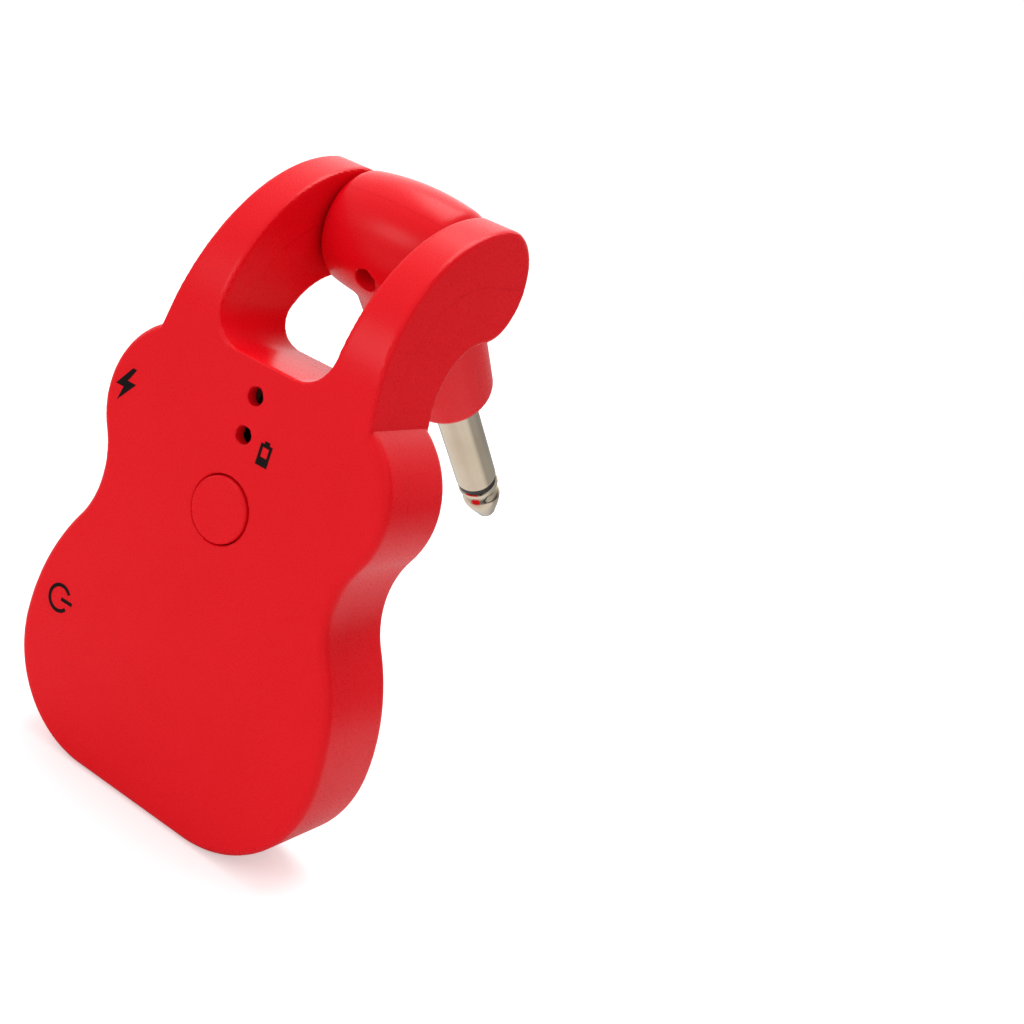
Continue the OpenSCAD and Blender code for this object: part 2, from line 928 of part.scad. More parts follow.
front_shell();
rear_shell();
case_screws();
pair_button();
power_knob();
circuit_board();
usb_shell();
usb_tongue();
pair_switch_body();
pair_switch_plunger();
power_switch_body();
power_switch_lever();
signal_led();
battery_led();
radio_shield();
main_chip();
audio_chip();
charger_chip();
crystal();
chip_antenna();
inductor();
capacitors();
battery();
battery_pad();
battery_socket();
battery_plug();
battery_leads();
arm_cable();
barrel_front();
barrel_rear();
barrel_screw();
friction_washers();
plug_sleeve();
plug_insulator();
plug_tip();
plug_bush();
ground_lug();
swivel_cable();
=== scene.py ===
"""Wireless guitar transmitter: the visual model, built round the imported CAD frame."""

import json
import math

import bpy
import numpy as np
from mathutils import Matrix, Vector


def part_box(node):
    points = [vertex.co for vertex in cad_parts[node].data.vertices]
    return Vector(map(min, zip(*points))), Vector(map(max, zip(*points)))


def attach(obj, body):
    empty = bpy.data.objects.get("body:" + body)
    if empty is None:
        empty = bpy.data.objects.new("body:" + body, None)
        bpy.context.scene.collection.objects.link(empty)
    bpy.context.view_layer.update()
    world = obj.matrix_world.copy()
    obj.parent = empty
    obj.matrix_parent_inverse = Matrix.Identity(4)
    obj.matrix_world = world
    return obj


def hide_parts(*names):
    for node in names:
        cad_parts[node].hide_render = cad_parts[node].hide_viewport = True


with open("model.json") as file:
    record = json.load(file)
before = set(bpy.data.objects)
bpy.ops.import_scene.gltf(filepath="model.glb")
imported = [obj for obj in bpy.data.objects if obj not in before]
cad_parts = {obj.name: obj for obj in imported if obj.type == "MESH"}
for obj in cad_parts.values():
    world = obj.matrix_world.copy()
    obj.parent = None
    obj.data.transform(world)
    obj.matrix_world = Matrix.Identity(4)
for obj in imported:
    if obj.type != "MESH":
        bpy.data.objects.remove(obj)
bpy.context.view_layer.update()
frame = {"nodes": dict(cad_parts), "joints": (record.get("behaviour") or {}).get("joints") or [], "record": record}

# ---------- places and sizes, in millimetres unless a name says otherwise ----------

MM = 0.001
joints = {joint["name"]: joint for joint in frame["joints"]}
mounts = {mount["name"]: mount for mount in frame["record"]["mounts"]}


def low(node):
    """Lower corner of a CAD node's box."""
    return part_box(node)[0] / MM


def high(node):
    """Upper corner of a CAD node's box."""
    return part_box(node)[1] / MM


# Housing: its faces, the joint of the shells with its hairline, wall, rounded edges, half of the foot
FRONT_Y = low("front_shell").y
BACK_Y = mounts["back_face"]["pos_m"][1] / MM
SEAM_Y = low("rear_shell").y
WALL = 1.6
SEAM_GAP = 0.012
EDGE_ROUND = 1.1
FOOT_HALF = 9.4
HOLE_BEVEL = 0.15

# Swivel and plug, with the plug's length in front of the collar
HINGE_Y, HINGE_Z = (value / MM for value in joints["plug_swivel"]["pos_m"][1:])
PLUG_AXIS = mounts["jack_plug"]["axis"]
PLUG_ANGLE = math.atan2(PLUG_AXIS[1], -PLUG_AXIS[2])
PLUG_R = mounts["jack_plug"]["dims"]["r_mm"]
PLUG_LEN = 33.0
TIP_LEN = 9.6
RING_LEN = 1.3
COLLAR_LEN = 31.0

# Distances along the plug's axis from the hinge
PLUG_END = COLLAR_LEN + PLUG_LEN
TIP_A = PLUG_END - TIP_LEN
RING_A = TIP_A - RING_LEN
FLANGE_A = (23.0, 27.0)
ROD_A = 19.5

# Radii of the plug's inner parts: sleeve in the collar, insulator, bore of the sleeve, rod, flange
NECK_R = PLUG_R - 0.25
INSULATOR_R = PLUG_R - 0.2
CORE_R = 1.8
ROD_R = 1.0
FLANGE_R = 4.75
CORE_PLAY = 0.02

# Yoke: round ends, front arc and inner arc in side view, the gap and the arms' width in front view
DISC_R = 7.2
YOKE_R = 22.8
GAP_HALF = 9.0
GAP_Z = 60.7
GAP_CORNER = 4.5
ARM_BASE_Z = 56.0
ARM_TOP_W = 14.3
ARM_FLARE = 2.2
ARM_FLARE_LEN = 24.0
ARM_ROUND = 0.5
GAP_ROUND = 0.45
YOKE_CY = FRONT_Y + YOKE_R
YOKE_CZ = HINGE_Z - math.sqrt((YOKE_R - DISC_R) ** 2 - (YOKE_CY - HINGE_Y) ** 2)
INNER_R = 10.3
INNER_CY = BACK_Y + INNER_R
INNER_Z = HINGE_Z - math.sqrt((INNER_R + DISC_R) ** 2 - (INNER_CY - HINGE_Y) ** 2)
SEAM_R = ((HINGE_Y - SEAM_Y) ** 2 + (HINGE_Z - YOKE_CZ) ** 2) / (2 * (HINGE_Y - SEAM_Y))
SEAM_CY = SEAM_Y + SEAM_R
BORE_R = 3.25
BORE_END = 13.1

# Cable's channel in the right arm: place, section, and how far behind the centre of the joint's arc
CABLE_X = 12.4
CABLE_SLOT = (1.4, 3.0)
CABLE_PAST = 1.2

# Barrel: crowned drum, tapered collar, trunnions, room inside (radius, half length), bores and play
BARREL_R = 8.2
BARREL_END_R = 7.2
BARREL_HALF = GAP_HALF - 0.3
CROWN_R = (BARREL_HALF**2 + (BARREL_R - BARREL_END_R) ** 2) / (2 * (BARREL_R - BARREL_END_R))
COLLAR_R = 7.9
COLLAR_TAPER = 1.4
COLLAR_ROUND = 1.6
SHOULDER_R = 1.6
COLLAR_FILLET = 0.5
TRUNNION_PLAY = 0.05
TRUNNION_END = 11.5
BARREL_ROOM = (5.8, 6.8)
COLLAR_BORE_R = 3.9
FLANGE_SEAT_R = 4.8
FLANGE_PLAY = 0.05
PLUG_PLAY = 0.03
CABLE_R = 1.0

# Screw of the barrel, in the swivel's own frame: height, seat of its head, clearance and thread
SCREW_A = 1.6
SCREW_SEAT = 5.0
SCREW_CLEAR_R = 1.1
THREAD_R = 0.85
THREAD_END = 5.8

# Controls, lights, charging socket, window of the slider and notch in the left wall
BUTTON_Z = joints["pair_press"]["pos_m"][2] / MM
BUTTON_FLANGE = 1.05
BUTTON_R = high("pair_button").x - BUTTON_FLANGE
BUTTON_HOLE_R = BUTTON_R + 0.14
BUTTON_HOLE_ROUND = 0.35
LED_R = 1.15
LED_BEVEL = 0.2
LED_Z = [(low(node).z + high(node).z) / 2 for node in ("signal_led", "battery_led")]
USB_X, USB_Y, USB_Z = (value / MM for value in mounts["charging_socket"]["pos_m"])
USB_HALF = 4.7
USB_R = 1.8
USB_DEPTH = 3
WINDOW_END_X = -20
WINDOW_Y = (FRONT_Y + 3.1, FRONT_Y + 8.3)
WINDOW_Z = (13.3, 27.3)
NOTCH_END_X = -18.9
NOTCH_LEN = 1.6
NOTCH_Z = (39.5, 41.1)

# Case screws, their posts and their holes in the back
SCREW_XZ = [(17.6, 11.3), (-17.6, 8.3), (13.4, 53.9), (-13.4, 55.4)]
POST_R = 2.3
POST_FRONT_Y = 0.3
POST_INSET = 1
HEAD_HOLE_R = 1.8
HEAD_SEAT = 1.3
SHANK_HOLE_R = 1.0

# Screws: pan head over a threaded shank
HEAD_R = 1.6
HEAD_LEN = 1.0
SHANK_LEN = 8.5

# Sizes of the grid cells that the shapes are meshed on
SHELL_CELL = 0.32
BARREL_CELL = 0.3
KNOB_CELL = 0.14
SCREW_CELL = 0.1


def direction(degrees):
    """Unit vector at an angle from the first of two axes."""
    return np.array([math.cos(math.radians(degrees)), math.sin(math.radians(degrees))])


# Tangent chain of the outline, as (x, z): corner, flank, waist, upper bout
CORNER_R, FLANK_R, WAIST_R, BOUT_R = 15.8, 28.6, 12.3, 11.8
CORNER_END, FLANK_END, WAIST_END, BOUT_END = -3, 31, -29, 61.5
CORNER_C = np.array([FOOT_HALF, CORNER_R])
FLANK_C = CORNER_C + (CORNER_R - FLANK_R) * direction(CORNER_END)
WAIST_C = FLANK_C + (FLANK_R + WAIST_R) * direction(FLANK_END)
BOUT_C = WAIST_C - (WAIST_R + BOUT_R) * direction(WAIST_END)
TOP_Z = BOUT_C[1] + BOUT_R * direction(BOUT_END)[1]


# ---------- solid shapes as signed distances, negative inside ----------


def both(a, b, r=0.0):
    """Inside both shapes, with the edge between them rounded to r."""
    if not r:
        return np.maximum(a, b)
    corner = np.hypot(np.maximum(a + r, 0), np.maximum(b + r, 0))
    return np.minimum(np.maximum(a, b), -r) + corner


def joined(a, b, r=0.0):
    """Inside either shape, with the inner edge between them filled to r."""
    return -both(-a, -b, r)


def bevelled(a, b, r):
    """Inside both shapes, with a flat bevel on the edge between them."""
    return np.maximum(np.maximum(a, b), (a + b + r) * math.sqrt(0.5))


def beyond(x, z, centre, degrees):
    """Whether a point is past the ray from centre at that angle, counted anticlockwise."""
    across = direction(degrees)
    return across[0] * (z - centre[1]) - across[1] * (x - centre[0]) > 0


def outline(x, z):
    """Front view of the body: positive x only, the other half mirrors it."""
    corner = np.hypot(np.maximum(x - FOOT_HALF, 0), z - CORNER_R) - CORNER_R
    flank = np.hypot(x - FLANK_C[0], z - FLANK_C[1]) - FLANK_R
    waist = WAIST_R - np.hypot(x - WAIST_C[0], z - WAIST_C[1])
    bout = np.hypot(np.maximum(x - BOUT_C[0], 0), z - BOUT_C[1]) - BOUT_R
    shape = np.where(beyond(x, z, CORNER_C, CORNER_END) | (z > CORNER_R), flank, corner)
    shape = np.where(beyond(x, z, FLANK_C, FLANK_END), waist, shape)
    shape = np.where(beyond(x, z, BOUT_C, WAIST_END) & (z > WAIST_C[1]), bout, shape)
    return np.maximum(shape, z - TOP_Z)


def yoke_side(y, z):
    """Side view of the arms: front curve, inner curve and round end."""
    outer = np.where(z < YOKE_CZ, FRONT_Y - y, np.hypot(y - YOKE_CY, z - YOKE_CZ) - YOKE_R)
    inner = np.where(z < INNER_Z, y - BACK_Y, INNER_R - np.hypot(y - INNER_CY, z - INNER_Z))
    disc = np.hypot(y - HINGE_Y, z - HINGE_Z) - DISC_R
    to_hinge = (HINGE_Y - YOKE_CY, HINGE_Z - YOKE_CZ)
    before = to_hinge[0] * (z - YOKE_CZ) - to_hinge[1] * (y - YOKE_CY) > 0
    return np.where(before, np.maximum(outer, inner), disc)


def seam_side(y, z):
    """Negative in front of the shell joint, positive behind it."""
    arc = SEAM_R - np.hypot(y - SEAM_CY, z - YOKE_CZ)
    bent = np.maximum(arc, np.minimum(y - SEAM_CY, HINGE_Z - z))
    return np.where(z < YOKE_CZ, y - SEAM_Y, bent)


def housing(p):
    """The outside of the two shells together."""
    x, y, z = np.abs(p[:, 0]), p[:, 1], p[:, 2]
    faces = np.maximum(FRONT_Y - y, y - BACK_Y)
    body = both(outline(x, z), faces, EDGE_ROUND)
    width = x - ARM_TOP_W - ARM_FLARE * ((HINGE_Z + DISC_R - z) / ARM_FLARE_LEN) ** 2
    past_side = np.maximum(x - GAP_HALF + GAP_CORNER, 0)
    past_floor = np.maximum(GAP_Z + GAP_CORNER - z, 0)
    gap = np.hypot(past_side, past_floor) - GAP_CORNER
    arms = both(both(yoke_side(y, z), width, ARM_ROUND), -gap, GAP_ROUND)
    return joined(body, np.maximum(arms, ARM_BASE_Z - z))


def hollows(p):
    """What both shells have cut out of them."""
    x, y, z = p.T
    faces = np.maximum(FRONT_Y - y, y - BACK_Y)
    cavity = np.maximum(outline(np.abs(x), z) + WALL, faces + WALL)
    bores = np.maximum(np.hypot(y - HINGE_Y, z - HINGE_Z) - BORE_R, np.abs(x) - BORE_END)
    socket = np.hypot(y - USB_Y, np.maximum(np.abs(z - USB_Z) - USB_HALF + USB_R, 0)) - USB_R
    socket = np.maximum(socket, x - USB_X - USB_DEPTH)
    window = np.maximum(WINDOW_Y[0] - y, y - WINDOW_Y[1])
    window = np.maximum(window, np.maximum(WINDOW_Z[0] - z, z - WINDOW_Z[1]))
    window = np.maximum(window, x - WINDOW_END_X)
    along, across = CABLE_SLOT[0] / 2, CABLE_SLOT[1] / 2
    channel = np.maximum(np.abs(x - CABLE_X) - along, np.abs(seam_side(y, z)) - across)
    channel = np.maximum(channel, np.maximum(BOUT_C[1] - z, y - SEAM_CY - CABLE_PAST))
    return np.minimum.reduce([cavity, bores, socket, window, channel])


def front_shell(p):
    """Front shell: holes for the button and the lights, and the notch at the joint."""
    x, y, z = p.T
    button = BUTTON_HOLE_R - np.hypot(x, z - BUTTON_Z)
    shape = both(housing(p), button, BUTTON_HOLE_ROUND)
    for led_z in LED_Z:
        shape = bevelled(shape, LED_R - np.hypot(x, z - led_z), LED_BEVEL)
    notch = np.maximum(NOTCH_Z[0] - z, z - NOTCH_Z[1])
    notch = np.maximum(notch, np.maximum(SEAM_Y - NOTCH_LEN - y, x - NOTCH_END_X))
    shape = both(both(shape, -hollows(p)), -notch)
    return both(shape, seam_side(y, z) + SEAM_GAP / 2)


def rear_shell(p):
    """Rear shell, with a post and a stepped hole for each case screw."""
    x, y, z = p.T
    shape = both(housing(p), -hollows(p))
    for screw_x, screw_z in SCREW_XZ:
        reach = np.hypot(x - screw_x, z - screw_z)
        post = np.maximum(reach - POST_R, np.maximum(POST_FRONT_Y - y, y - BACK_Y + POST_INSET))
        shape = joined(shape, post)
        head_hole = np.maximum(reach - HEAD_HOLE_R, BACK_Y - HEAD_SEAT - y)
        shape = bevelled(shape, -head_hole, HOLE_BEVEL)
        shape = both(shape, SHANK_HOLE_R - reach)
    return both(shape, SEAM_GAP / 2 - seam_side(y, z))


def barrel(p):
    """Both halves of the barrel, in the swivel's own frame: barrel along X, plug along -Z."""
    x, y, z = p.T
    round_x = np.hypot(y, z)
    round_z = np.hypot(x, y)
    crown = BARREL_R - CROWN_R + np.sqrt(CROWN_R**2 - np.minimum(np.abs(x), CROWN_R) ** 2)
    drum = both(round_x - crown, np.abs(x) - BARREL_HALF, SHOULDER_R)
    trunnions = np.maximum(round_x - BORE_R + TRUNNION_PLAY, np.abs(x) - TRUNNION_END)
    taper = COLLAR_TAPER * np.clip((-z - BARREL_R) / (COLLAR_LEN - COLLAR_ROUND - BARREL_R), 0, 1)
    collar = both(np.maximum(round_z - COLLAR_R + taper, z), -z - COLLAR_LEN, COLLAR_ROUND)
    shape = joined(joined(drum, collar, COLLAR_FILLET), trunnions)
    room = np.maximum(round_x - BARREL_ROOM[0], np.abs(x) - BARREL_ROOM[1])
    bore = np.maximum(round_z - COLLAR_BORE_R, np.maximum(z, -FLANGE_A[0] - z))
    flange = np.maximum(z + FLANGE_A[0] - FLANGE_PLAY, -FLANGE_A[1] - z)
    seat = np.maximum(round_z - FLANGE_SEAT_R, flange)
    hole = np.maximum(round_z - PLUG_R - PLUG_PLAY, z)
    cable = round_x - CABLE_R
    shape = np.maximum(shape, -np.minimum.reduce([room, bore, seat, hole, cable]))
    post = np.maximum(np.hypot(x, z - SCREW_A) - POST_R, np.abs(y) - BARREL_R + POST_INSET)
    return joined(shape, post)


def barrel_front(p):
    """Front half of the barrel, with the seat and the hole of its screw."""
    x, y, z = p.T
    reach = np.hypot(x, z - SCREW_A)
    shape = bevelled(barrel(p), -np.maximum(reach - HEAD_R, y + SCREW_SEAT), HOLE_BEVEL)
    return np.maximum(np.maximum(shape, SCREW_CLEAR_R - reach), y + SEAM_GAP / 2)


def barrel_rear(p):
    """Rear half of the barrel, with the threaded hole."""
    x, y, z = p.T
    hole = np.maximum(np.hypot(x, z - SCREW_A) - THREAD_R, y - THREAD_END)
    return np.maximum(np.maximum(barrel(p), -hole), SEAM_GAP / 2 - y)


# ---------- meshing ----------

HALVINGS = 6
EDGE_PULL = 0.06
SMOOTH_SOLID = 30
SMOOTH_TURNED = 40


def slopes(distance, p):
    """Unit normals of a distance, by differences."""
    step, shortest = 0.002, 1e-9
    base = distance(p)
    columns = [distance(p + step * np.eye(3)[axis]) - base for axis in range(3)]
    normals = np.stack(columns, 1)
    return normals / np.maximum(np.linalg.norm(normals, axis=1, keepdims=True), shortest)


def crossings(distance, corner, cell, value, axis):
    """Grid edges along an axis that cross the surface.

    Gives each edge's place in the grid, the point and the normal where it crosses, and whether it
    leads outward.
    """
    first = np.moveaxis(value, axis, 0)[:-1]
    second = np.moveaxis(value, axis, 0)[1:]
    places = np.argwhere((first < 0) != (second < 0))
    outward = first[tuple(places.T)] < 0
    order = [1, 2]
    order.insert(axis, 0)
    places = places[:, order]
    along = np.eye(3)[axis]
    near, far = np.zeros(len(places)), np.ones(len(places))
    for _ in range(HALVINGS):
        middle = (near + far) / 2
        inside = distance(corner + cell * (places + middle[:, None] * along)) < 0
        near = np.where(inside == outward, middle, near)
        far = np.where(inside == outward, far, middle)
    points = corner + cell * (places + ((near + far) / 2)[:, None] * along)
    return places, points, slopes(distance, points), outward


def contour(distance, lowest, highest, cell):
    """Vertices and quads of a distance's zero surface by dual contouring, which keeps sharp edges."""
    margins = (1.37, 1.5)  # in cells; the odd first one keeps grid points off the flat faces
    corner = np.array(lowest, float) - margins[0] * cell
    counts = np.ceil((np.array(highest) + margins[1] * cell - corner) / cell).astype(int) + 1
    axes = [corner[axis] + cell * np.arange(counts[axis]) for axis in range(3)]
    value = np.empty(counts)
    # The distance at every grid point, one layer of x at a time
    for index, x in enumerate(axes[0]):
        y, z = np.meshgrid(axes[1], axes[2], indexing="ij")
        layer = np.stack([np.full(y.size, x), y.ravel(), z.ravel()], 1)
        value[index] = distance(layer).reshape(y.shape)
    strides = np.array([(counts[1] - 1) * (counts[2] - 1), counts[2] - 1, 1])
    rings, points, normals = [], [], []
    # Each grid edge that crosses the surface gives a quad between the four cells round it
    for axis in range(3):
        u, v = (axis + 1) % 3, (axis + 2) % 3
        places, point, normal, outward = crossings(distance, corner, cell, value, axis)
        around = [
            places @ strides - du * strides[u] - dv * strides[v]
            for du, dv in ((1, 1), (0, 1), (0, 0), (1, 0))
        ]
        around = np.stack(around, 1)
        rings.append(np.where(outward[:, None], around, around[:, ::-1]))
        points.append(point)
        normals.append(normal)
    rings = np.concatenate(rings)
    points = np.concatenate(points)
    normals = np.concatenate(normals)
    used, quads = np.unique(rings, return_inverse=True)
    quads = quads.reshape(rings.shape)
    owner = quads.ravel()

    def gathered(values):
        """Sum of a value of the crossings round each vertex."""
        return np.bincount(owner, np.repeat(values, 4), len(used))

    # Each cell's vertex is where its crossings' tangent planes meet, drawn a little to their middle
    count = gathered(np.ones(len(points)))
    centre = np.stack([gathered(points[:, i]) / count for i in range(3)], 1)
    square = np.empty((len(used), 3, 3))
    for i in range(3):
        for j in range(3):
            square[:, i, j] = gathered(normals[:, i] * normals[:, j])
    offset = (normals * points).sum(1)
    right = np.stack([gathered(normals[:, i] * offset) for i in range(3)], 1)
    right -= np.einsum("nij,nj->ni", square, centre)
    pull = EDGE_PULL * np.eye(3)
    vertices = centre + np.linalg.solve(square + pull, right[:, :, None])[:, :, 0]
    # No vertex leaves its cell
    place = np.stack(np.unravel_index(used, counts - 1), 1)
    floor = corner + cell * place
    return np.clip(vertices, floor, floor + cell), quads


def add_mesh(name, vertices, faces, smooth_below=SMOOTH_SOLID):
    """A mesh object from points in millimetres, smooth but for edges sharper than an angle."""
    mesh = bpy.data.meshes.new(name)
    points = (np.asarray(vertices) * MM).tolist()
    if isinstance(faces, np.ndarray):
        faces = faces.tolist()
    mesh.from_pydata(points, [], faces)
    mesh.polygons.foreach_set("use_smooth", np.ones(len(mesh.polygons), bool))
    mesh.set_sharp_from_angle(angle=math.radians(smooth_below))
    piece = bpy.data.objects.new(name, mesh)
    bpy.context.scene.collection.objects.link(piece)
    return piece


def solid(name, distance, lowest, highest, cell, place=None):
    """A piece whose surface is where distance is zero, moved by place."""
    vertices, quads = contour(distance, lowest, highest, cell)
    piece = add_mesh(name, vertices, quads)
    if place is not None:
        piece.data.transform(place)
    return piece


def turned(name, profile, place, sides=128):
    """A piece turned about its own Z from (radius, height) points; a radius of zero closes an end."""
    vertices, faces, rings = [], [], []
    for radius, height in profile:
        if radius == 0:
            rings.append([len(vertices)] * sides)
            vertices.append((0, 0, height))
            continue
        rings.append(list(range(len(vertices), len(vertices) + sides)))
        for k in range(sides):
            angle = math.tau * k / sides
            vertices.append((radius * math.cos(angle), radius * math.sin(angle), height))
    for below, above in zip(rings, rings[1:]):
        for k in range(sides):
            ring = [below[k], below[(k + 1) % sides], above[(k + 1) % sides], above[k]]
            face = [v for i, v in enumerate(ring) if v != ring[i - 1]]
            if len(face) > 2:
                faces.append(face)
    piece = add_mesh(name, vertices, faces, SMOOTH_TURNED)
    piece.data.transform(place)
    return piece


def arc(centre, radius, start, end, steps):
    """Points of an arc in (radius, height), for profiles."""
    angles = [start + (end - start) * i / steps for i in range(steps + 1)]
    return [tuple(centre + radius * direction(angle)) for angle in angles]


def moved(x, y, z):
    """A move by millimetres."""
    return Matrix.Translation(Vector((x, y, z)) * MM)


SWIVEL = moved(0, HINGE_Y, HINGE_Z) @ Matrix.Rotation(PLUG_ANGLE, 4, "X")


# ---------- materials ----------


def new_material(name):
    """A material with its node tree and its main shader."""
    material = bpy.data.materials.new(name)
    material.use_nodes = True
    tree = material.node_tree
    return material, tree, tree.nodes["Principled BSDF"]


def place_coordinates(tree, scale, turn=0.0):
    """Coordinates fixed to the piece, turned about X, with a scale per metre on each axis."""
    source = tree.nodes.new("ShaderNodeTexCoord")
    turned_by = tree.nodes.new("ShaderNodeMapping")
    turned_by.inputs["Rotation"].default_value = (-turn, 0, 0)
    stretched = tree.nodes.new("ShaderNodeMapping")
    stretched.inputs["Scale"].default_value = scale
    tree.links.new(source.outputs["Object"], turned_by.inputs["Vector"])
    tree.links.new(turned_by.outputs["Vector"], stretched.inputs["Vector"])
    return stretched.outputs["Vector"]


def noise(tree, vector, detail, rough=0.5):
    """A noise value, mostly within 0.3..0.7."""
    node = tree.nodes.new("ShaderNodeTexNoise")
    node.inputs["Scale"].default_value = 1.0
    node.inputs["Detail"].default_value = detail
    node.inputs["Roughness"].default_value = rough
    tree.links.new(vector, node.inputs["Vector"])
    return node.outputs["Fac"]


def spread(tree, value, low_end, high_end, start=0.3, end=0.7):
    """A value taken from start..end to low_end..high_end, and held at those ends."""
    node = tree.nodes.new("ShaderNodeMapRange")
    node.inputs["From Min"].default_value = start
    node.inputs["From Max"].default_value = end
    node.inputs["To Min"].default_value = low_end
    node.inputs["To Max"].default_value = high_end
    tree.links.new(value, node.inputs["Value"])
    return node.outputs["Result"]


def tint(tree, value, first, second):
    """A colour between two, by a noise value."""
    node = tree.nodes.new("ShaderNodeValToRGB")
    node.color_ramp.elements[0].position = 0.35
    node.color_ramp.elements[1].position = 0.65
    node.color_ramp.elements[0].color = (*first, 1)
    node.color_ramp.elements[1].color = (*second, 1)
    tree.links.new(value, node.inputs["Fac"])
    return node.outputs["Color"]


def calculate(tree, operation, first, second):
    """A maths node on two values, each a number or another node's output."""
    node = tree.nodes.new("ShaderNodeMath")
    node.operation = operation
    for slot, value in zip(node.inputs, (first, second)):
        if isinstance(value, float):
            slot.default_value = value
        else:
            tree.links.new(value, slot)
    return node.outputs["Value"]


def bump(tree, shader, heights):
    """Bumps from (height value, strength, depth in metres), coarse first."""
    normal = None
    for height, strength, depth in heights:
        node = tree.nodes.new("ShaderNodeBump")
        node.inputs["Strength"].default_value = strength
        node.inputs["Distance"].default_value = depth
        tree.links.new(height, node.inputs["Height"])
        if normal is not None:
            tree.links.new(normal, node.inputs["Normal"])
        normal = node.outputs["Normal"]
    tree.links.new(normal, shader.inputs["Normal"])


def grained(name, first, second, rough, metallic=0.0, grain=(3000, 3000, 3000), turn=0.0,
            strength=0.2, depth=4e-6, patch=120, level=0.5):
    """A finish with patches of two close colours, uneven gloss and a fine grain.

    rough is the range of roughness; grain and patch are scales per metre; strength and depth are the
    grain's; level is the specular level.
    """
    material, tree, shader = new_material(name)
    patches = noise(tree, place_coordinates(tree, (patch,) * 3), detail=4, rough=0.6)
    fine = noise(tree, place_coordinates(tree, grain, turn), detail=3, rough=0.6)
    patch_strength, patch_depth = 0.05, 1e-5
    tree.links.new(tint(tree, patches, first, second), shader.inputs["Base Color"])
    tree.links.new(spread(tree, fine, *rough), shader.inputs["Roughness"])
    shader.inputs["Metallic"].default_value = metallic
    shader.inputs["Specular IOR Level"].default_value = level
    bump(tree, shader, [(patches, patch_strength, patch_depth), (fine, strength, depth)])
    return material, shader


def red_plastic():
    """Semi-gloss moulded plastic: a fine spark-eroded grain over very slight sink and flow waves."""
    material, shader = grained(
        "red_plastic", (0.75, 0.002, 0.008), (0.77, 0.003, 0.010), (0.25, 0.33),
        grain=(5200, 5200, 5200), strength=0.12, depth=3e-6, patch=90, level=0.2,
    )
    shader.inputs["Subsurface Weight"].default_value = 0.06
    shader.inputs["Subsurface Radius"].default_value = (1.0, 0.15, 0.1)
    shader.inputs["Subsurface Scale"].default_value = 0.0015
    return material


def plug_nickel():
    """Polished nickel with faint turning lines round the plug's axis."""
    material, _ = grained(
        "plug_nickel", (0.75, 0.63, 0.47), (0.81, 0.70, 0.54), (0.06, 0.13), metallic=1.0,
        grain=(30, 30, 14000), turn=PLUG_ANGLE, strength=0.12, depth=3e-6,
    )
    return material


def brushed(name, first, second, rough):
    """Metal or foil with fine brushing lines across Y."""
    return grained(name, first, second, rough, metallic=1.0, grain=(900, 9000, 900))[0]


def moulded(name, first, second, rough):
    """Plastic, rubber or ceramic with an even grain."""
    return grained(name, first, second, rough)[0]


def board_green():
    """Solder mask with copper tracks showing through as slightly lighter, raised lines."""
    material, tree, shader = new_material("board_green")
    tracks = tree.nodes.new("ShaderNodeTexBrick")
    tracks.inputs["Scale"].default_value = 1.0
    tracks.inputs["Mortar Size"].default_value = 0.06
    tree.links.new(place_coordinates(tree, (700,) * 3, math.pi / 2), tracks.inputs["Vector"])
    fine = noise(tree, place_coordinates(tree, (2500,) * 3), detail=3)
    colour = tint(tree, tracks.outputs["Fac"], (0.008, 0.085, 0.035), (0.02, 0.16, 0.07))
    tree.links.new(colour, shader.inputs["Base Color"])
    tree.links.new(spread(tree, fine, 0.25, 0.4), shader.inputs["Roughness"])
    track_strength, track_depth = 0.4, 3e-5
    fine_strength, fine_depth = 0.1, 5e-6
    bump(tree, shader, [
        (tracks.outputs["Fac"], track_strength, track_depth), (fine, fine_strength, fine_depth),
    ])
    return material


def led_lens():
    """Milky clear resin."""
    material, shader = grained("led_lens", (0.80, 0.80, 0.72), (0.88, 0.88, 0.80), (0.15, 0.3))
    shader.inputs["Transmission Weight"].default_value = 0.35
    return material


MATERIALS = {
    "red_plastic": red_plastic(),
    "plug_nickel": plug_nickel(),
    "screw_steel": brushed("screw_steel", (0.36, 0.36, 0.37), (0.46, 0.46, 0.48), (0.28, 0.45)),
    "shield_metal": brushed("shield_metal", (0.58, 0.58, 0.58), (0.68, 0.68, 0.69), (0.25, 0.4)),
    "battery_foil": brushed("battery_foil", (0.55, 0.56, 0.58), (0.66, 0.67, 0.69), (0.3, 0.5)),
    "black_plastic": moulded("black_plastic", (0.008, 0.007, 0.007), (0.014, 0.012, 0.012), (0.35, 0.5)),
    "board_green": board_green(),
    "led_lens": led_lens(),
    "cream_plastic": moulded("cream_plastic", (0.72, 0.68, 0.56), (0.78, 0.74, 0.62), (0.4, 0.6)),
    "ferrite": moulded("ferrite", (0.05, 0.05, 0.055), (0.09, 0.09, 0.095), (0.5, 0.7)),
    "ceramic": moulded("ceramic", (0.42, 0.29, 0.17), (0.5, 0.36, 0.22), (0.4, 0.6)),
    "foam": moulded("foam", (0.75, 0.75, 0.72), (0.85, 0.85, 0.82), (0.8, 0.95)),
    "lead_sleeve": moulded("lead_sleeve", (0.4, 0.015, 0.015), (0.5, 0.025, 0.02), (0.35, 0.5)),
    "cable_sleeve": moulded("cable_sleeve", (0.04, 0.04, 0.045), (0.06, 0.06, 0.065), (0.4, 0.6)),
    "bush_fibre": moulded("bush_fibre", (0.28, 0.14, 0.06), (0.36, 0.19, 0.08), (0.55, 0.75)),
}
